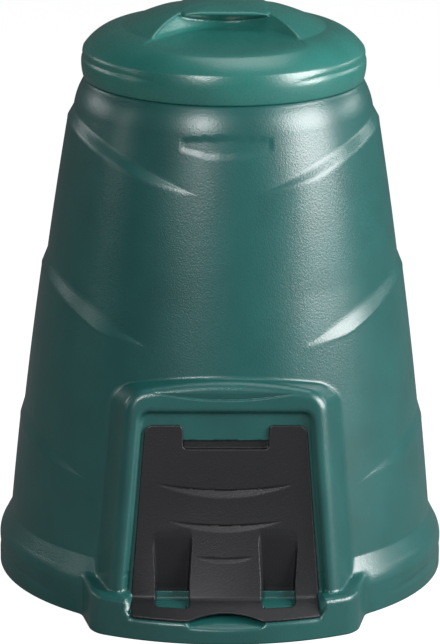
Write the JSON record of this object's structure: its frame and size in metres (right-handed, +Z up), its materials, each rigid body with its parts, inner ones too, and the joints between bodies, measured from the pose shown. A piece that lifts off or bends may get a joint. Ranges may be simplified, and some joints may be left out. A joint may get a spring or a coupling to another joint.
{
  "type": "compost bin with lid",
  "caption": "Tapered round garden composter, open at the foot, with a lift-off domed lid that has two finger pockets, and a leaning front hatch over a step-like toe.",
  "frame": {"origin": "on the ground, at the middle of the footprint's bounding box, 28 mm in front of the round bin's axis", "axes": "+Z up, -Y towards the hatch and the toe, +X to the right of someone who faces the hatch"},
  "size_m": [0.7, 0.756, 0.9],
  "materials": {
    "body_green": "satin, finely grained",
    "lid_green": "satin, finely grained",
    "hatch_charcoal": "matt"
  },
  "bodies": {
    "bin_body": {"bin_body": "body_green"},
    "lid": {"lid": "lid_green"},
    "hatch": {"hatch": "hatch_charcoal"}
  },
  "joints": [
    {"name": "lid_lift", "type": "slide", "parent": "bin_body", "child": "lid", "axis": [0, 0, 1], "range_m": [0, 0.15]},
    {"name": "hatch_lift", "type": "slide", "parent": "bin_body", "child": "hatch", "axis": [0, 0.1288, 0.9917], "range_m": [0, 0.012]}
  ]
}
